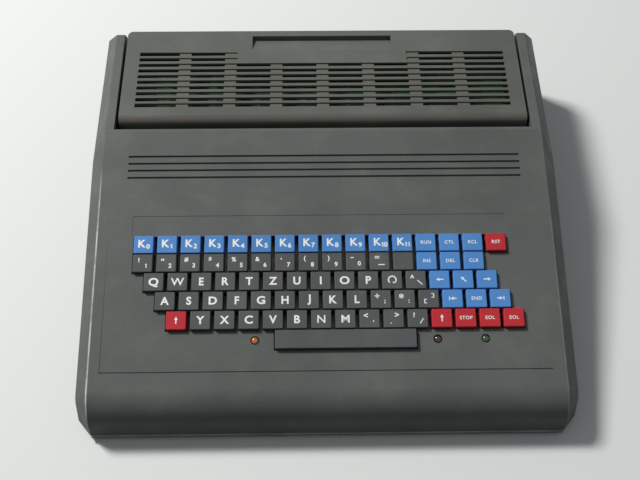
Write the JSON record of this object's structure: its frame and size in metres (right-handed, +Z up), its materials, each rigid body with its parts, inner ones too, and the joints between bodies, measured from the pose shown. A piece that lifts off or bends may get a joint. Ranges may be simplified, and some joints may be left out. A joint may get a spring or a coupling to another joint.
{
  "type": "vintage home computer",
  "caption": "Wedge-shaped home computer with a staggered colour-coded keyboard in its sloping deck and a vented plug-in program module in a bay at the rear.",
  "frame": {"origin": "on the table under the middle of the outline", "axes": "+X to the user's right, +Y to the rear, +Z up"},
  "size_m": [0.3952, 0.3752, 0.089],
  "materials": {
    "case": "satin",
    "tray": "satin",
    "module": "satin",
    "panel": "matte",
    "rubber": "matte",
    "steel": "satin",
    "board": "satin",
    "chip": "matte",
    "black_plastic": "satin",
    "rocker": "gloss",
    "nickel": "gloss",
    "sheet_steel": "satin",
    "coil": "satin",
    "can": "gloss",
    "aluminium": "satin",
    "speaker": "matte",
    "ribbon": "satin",
    "lens_amber": "gloss",
    "lens_red": "gloss",
    "lens_green": "gloss",
    "key_grey": "satin",
    "key_blue": "satin",
    "key_red": "satin"
  },
  "bodies": {
    "chassis": {"top_cover": "case", "bottom_tray": "tray", "rear_panel": "panel", "feet": "rubber", "case_screws": "steel", "module_socket": "black_plastic", "riser_board": "board", "main_board": "board", "logic_chips": "chip", "memory_chips": "chip", "bus_sockets": "black_plastic", "din_sockets": "black_plastic", "coax_socket": "nickel", "modulator": "sheet_steel", "transformer_core": "sheet_steel", "transformer_coil": "coil", "capacitors": "can", "heatsink": "aluminium", "regulators": "black_plastic", "fuse_holder": "black_plastic", "mains_inlet": "black_plastic", "power_switch": "black_plastic", "speaker": "speaker", "key_plate": "sheet_steel", "key_board": "board", "key_switches": "black_plastic", "lamp_amber": "lens_amber", "lamp_red": "lens_red", "lamp_green": "lens_green", "ribbon_cable": "ribbon"},
    "module": {"module_case": "module", "module_base": "module", "module_board": "board", "module_chips": "chip"},
    "rocker": {"power_rocker": "rocker"},
    "cap": {"fuse_cap": "black_plastic"},
    "key_run": {"key_run": "key_blue"},
    "key_ctl": {"key_ctl": "key_blue"},
    "key_rcl": {"key_rcl": "key_blue"},
    "key_rst": {"key_rst": "key_red"},
    "key_ins": {"key_ins": "key_blue"},
    "key_del": {"key_del": "key_blue"},
    "key_clr": {"key_clr": "key_blue"},
    "key_left": {"key_left": "key_blue"},
    "key_home": {"key_home": "key_blue"},
    "key_right": {"key_right": "key_blue"},
    "key_line_start": {"key_line_start": "key_blue"},
    "key_end": {"key_end": "key_blue"},
    "key_line_end": {"key_line_end": "key_blue"},
    "key_shift_left": {"key_shift_left": "key_red"},
    "key_shift_right": {"key_shift_right": "key_red"},
    "key_stop": {"key_stop": "key_red"},
    "key_eol_left": {"key_eol_left": "key_red"},
    "key_eol_right": {"key_eol_right": "key_red"},
    "key_space": {"key_space": "key_grey"},
    "keys_function": {"keys_function": "key_blue"},
    "keys_number": {"keys_number": "key_grey"},
    "keys_upper": {"keys_upper": "key_grey"},
    "keys_home": {"keys_home": "key_grey"},
    "keys_lower": {"keys_lower": "key_grey"}
  },
  "joints": [
    {"name": "module_slide", "type": "slide", "parent": "chassis", "child": "module", "axis": [0, 1, 0], "range_m": [0, 0.12]},
    {"name": "power_rocker_turn", "type": "hinge", "parent": "chassis", "child": "rocker", "pos_m": [0.084, 0.17585, 0.026], "axis": [0, 0, 1], "range_deg": [0, 16]},
    {"name": "fuse_cap_turn", "type": "hinge", "parent": "chassis", "child": "cap", "pos_m": [0.112, 0.17885, 0.026], "axis": [0, 1, 0], "range_deg": [0, 90]},
    {"name": "key_run_press", "type": "slide", "parent": "chassis", "child": "key_run", "axis": [0, 0.2079, -0.9781], "range_m": [0, 0.0035], "stiffness_N_per_m": 150, "springref_m": -0.004},
    {"name": "key_ctl_press", "type": "slide", "parent": "chassis", "child": "key_ctl", "axis": [0, 0.2079, -0.9781], "range_m": [0, 0.0035], "stiffness_N_per_m": 150, "springref_m": -0.004},
    {"name": "key_rcl_press", "type": "slide", "parent": "chassis", "child": "key_rcl", "axis": [0, 0.2079, -0.9781], "range_m": [0, 0.0035], "stiffness_N_per_m": 150, "springref_m": -0.004},
    {"name": "key_rst_press", "type": "slide", "parent": "chassis", "child": "key_rst", "axis": [0, 0.2079, -0.9781], "range_m": [0, 0.0035], "stiffness_N_per_m": 150, "springref_m": -0.004},
    {"name": "key_ins_press", "type": "slide", "parent": "chassis", "child": "key_ins", "axis": [0, 0.2079, -0.9781], "range_m": [0, 0.0035], "stiffness_N_per_m": 150, "springref_m": -0.004},
    {"name": "key_del_press", "type": "slide", "parent": "chassis", "child": "key_del", "axis": [0, 0.2079, -0.9781], "range_m": [0, 0.0035], "stiffness_N_per_m": 150, "springref_m": -0.004},
    {"name": "key_clr_press", "type": "slide", "parent": "chassis", "child": "key_clr", "axis": [0, 0.2079, -0.9781], "range_m": [0, 0.0035], "stiffness_N_per_m": 150, "springref_m": -0.004},
    {"name": "key_left_press", "type": "slide", "parent": "chassis", "child": "key_left", "axis": [0, 0.2079, -0.9781], "range_m": [0, 0.0035], "stiffness_N_per_m": 150, "springref_m": -0.004},
    {"name": "key_home_press", "type": "slide", "parent": "chassis", "child": "key_home", "axis": [0, 0.2079, -0.9781], "range_m": [0, 0.0035], "stiffness_N_per_m": 150, "springref_m": -0.004},
    {"name": "key_right_press", "type": "slide", "parent": "chassis", "child": "key_right", "axis": [0, 0.2079, -0.9781], "range_m": [0, 0.0035], "stiffness_N_per_m": 150, "springref_m": -0.004},
    {"name": "key_line_start_press", "type": "slide", "parent": "chassis", "child": "key_line_start", "axis": [0, 0.2079, -0.9781], "range_m": [0, 0.0035], "stiffness_N_per_m": 150, "springref_m": -0.004},
    {"name": "key_end_press", "type": "slide", "parent": "chassis", "child": "key_end", "axis": [0, 0.2079, -0.9781], "range_m": [0, 0.0035], "stiffness_N_per_m": 150, "springref_m": -0.004},
    {"name": "key_line_end_press", "type": "slide", "parent": "chassis", "child": "key_line_end", "axis": [0, 0.2079, -0.9781], "range_m": [0, 0.0035], "stiffness_N_per_m": 150, "springref_m": -0.004},
    {"name": "key_shift_left_press", "type": "slide", "parent": "chassis", "child": "key_shift_left", "axis": [0, 0.2079, -0.9781], "range_m": [0, 0.0035], "stiffness_N_per_m": 150, "springref_m": -0.004},
    {"name": "key_shift_right_press", "type": "slide", "parent": "chassis", "child": "key_shift_right", "axis": [0, 0.2079, -0.9781], "range_m": [0, 0.0035], "stiffness_N_per_m": 150, "springref_m": -0.004},
    {"name": "key_stop_press", "type": "slide", "parent": "chassis", "child": "key_stop", "axis": [0, 0.2079, -0.9781], "range_m": [0, 0.0035], "stiffness_N_per_m": 150, "springref_m": -0.004},
    {"name": "key_eol_left_press", "type": "slide", "parent": "chassis", "child": "key_eol_left", "axis": [0, 0.2079, -0.9781], "range_m": [0, 0.0035], "stiffness_N_per_m": 150, "springref_m": -0.004},
    {"name": "key_eol_right_press", "type": "slide", "parent": "chassis", "child": "key_eol_right", "axis": [0, 0.2079, -0.9781], "range_m": [0, 0.0035], "stiffness_N_per_m": 150, "springref_m": -0.004},
    {"name": "key_space_press", "type": "slide", "parent": "chassis", "child": "key_space", "axis": [0, 0.2079, -0.9781], "range_m": [0, 0.0035], "stiffness_N_per_m": 150, "springref_m": -0.004},
    {"name": "keys_function_press", "type": "slide", "parent": "chassis", "child": "keys_function", "axis": [0, 0.2079, -0.9781], "range_m": [0, 0.0035], "stiffness_N_per_m": 900, "springref_m": -0.004},
    {"name": "keys_number_press", "type": "slide", "parent": "chassis", "child": "keys_number", "axis": [0, 0.2079, -0.9781], "range_m": [0, 0.0035], "stiffness_N_per_m": 900, "springref_m": -0.004},
    {"name": "keys_upper_press", "type": "slide", "parent": "chassis", "child": "keys_upper", "axis": [0, 0.2079, -0.9781], "range_m": [0, 0.0035], "stiffness_N_per_m": 900, "springref_m": -0.004},
    {"name": "keys_home_press", "type": "slide", "parent": "chassis", "child": "keys_home", "axis": [0, 0.2079, -0.9781], "range_m": [0, 0.0035], "stiffness_N_per_m": 900, "springref_m": -0.004},
    {"name": "keys_lower_press", "type": "slide", "parent": "chassis", "child": "keys_lower", "axis": [0, 0.2079, -0.9781], "range_m": [0, 0.0035], "stiffness_N_per_m": 900, "springref_m": -0.004}
  ]
}
